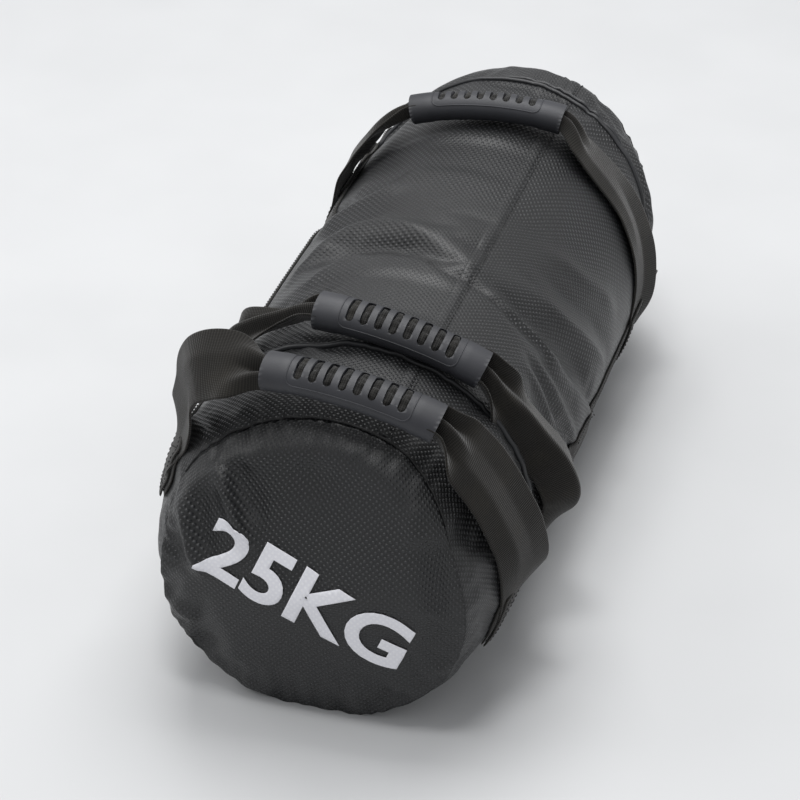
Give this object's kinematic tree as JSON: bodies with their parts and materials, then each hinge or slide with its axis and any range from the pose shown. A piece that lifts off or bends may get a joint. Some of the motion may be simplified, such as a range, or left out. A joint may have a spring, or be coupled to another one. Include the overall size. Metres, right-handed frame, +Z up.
{
  "type": "weighted training bag",
  "caption": "Heavy cylindrical carry bag of beaded tarpaulin, lying on its side, with slotted rubber grips on loose webbing loops that swing over the crown and ends.",
  "frame": {"origin": "on the floor, under the middle of the bag's length and width, on the flat that the floor presses in its underside", "axes": "+Y along the bag from the near, marked end to the far end, +Z up, +X to the right seen from the near end"},
  "size_m": [0.2704, 0.6297, 0.2419],
  "materials": {
    "tarpaulin": "semi-gloss PVC-coated fabric, embossed with a diamond grid of small round beads",
    "webbing": "black-brown woven polypropylene webbing, ribbed across its width, matte",
    "grip_rubber": "matte moulded rubber, smooth ends, eight slots over the crown",
    "fleece": "soft non-woven wadding",
    "pouch_film": "thick polyethylene film",
    "sand": "dry fine sand",
    "nylon": "moulded nylon cable tie"
  },
  "bodies": {
    "root": {"near_end_band": "tarpaulin", "centre_panel": "tarpaulin", "far_end_band": "tarpaulin", "near_piping": "tarpaulin", "far_piping": "tarpaulin", "near_end_panel": "tarpaulin", "far_end_panel": "tarpaulin", "near_band_seam": "tarpaulin", "centre_seam": "tarpaulin", "far_band_seam": "tarpaulin", "right_side_strap": "webbing", "left_side_strap": "webbing", "near_anchor_right": "webbing", "near_anchor_left": "webbing", "middle_anchor_right": "webbing", "middle_anchor_left": "webbing", "far_anchor_right": "webbing", "far_anchor_left": "webbing", "end_anchor_right": "webbing", "end_anchor_left": "webbing", "wadding_sleeve": "fleece", "wadding_cap_near": "fleece", "wadding_cap_far": "fleece", "sand_pouch_1": "pouch_film", "sand_fill_1": "sand", "pouch_tie_1": "nylon", "sand_pouch_2": "pouch_film", "sand_fill_2": "sand", "pouch_tie_2": "nylon", "sand_pouch_3": "pouch_film", "sand_fill_3": "sand", "pouch_tie_3": "nylon"},
    "near_handle": {"near_grip": "grip_rubber", "near_grip_core": "webbing", "near_strap_right": "webbing", "near_strap_left": "webbing"},
    "middle_handle": {"middle_grip": "grip_rubber", "middle_grip_core": "webbing", "middle_strap_right": "webbing", "middle_strap_left": "webbing"},
    "far_handle": {"far_grip": "grip_rubber", "far_grip_core": "webbing", "far_strap_right": "webbing", "far_strap_left": "webbing"},
    "end_handle": {"end_grip": "grip_rubber", "end_grip_core": "webbing", "end_strap_right": "webbing", "end_strap_left": "webbing"}
  },
  "joints": [
    {"name": "near_swing", "type": "hinge", "parent": "root", "child": "near_handle", "pos_m": [0, -0.208, 0.10548], "axis": [0.9478, 0, -0.3188], "range_deg": [-18, 80]},
    {"name": "middle_swing", "type": "hinge", "parent": "root", "child": "middle_handle", "pos_m": [0, -0.125, 0.106], "axis": [0.9478, 0, -0.3187], "range_deg": [-28, 0]},
    {"name": "far_swing", "type": "hinge", "parent": "root", "child": "far_handle", "pos_m": [0, 0.148, 0.106], "axis": [0.9478, 0, -0.3187], "range_deg": [0, 28]},
    {"name": "end_swing", "type": "hinge", "parent": "root", "child": "end_handle", "pos_m": [0, 0.201, 0.10571], "axis": [0.9478, 0, -0.3188], "range_deg": [0, 96]}
  ]
}
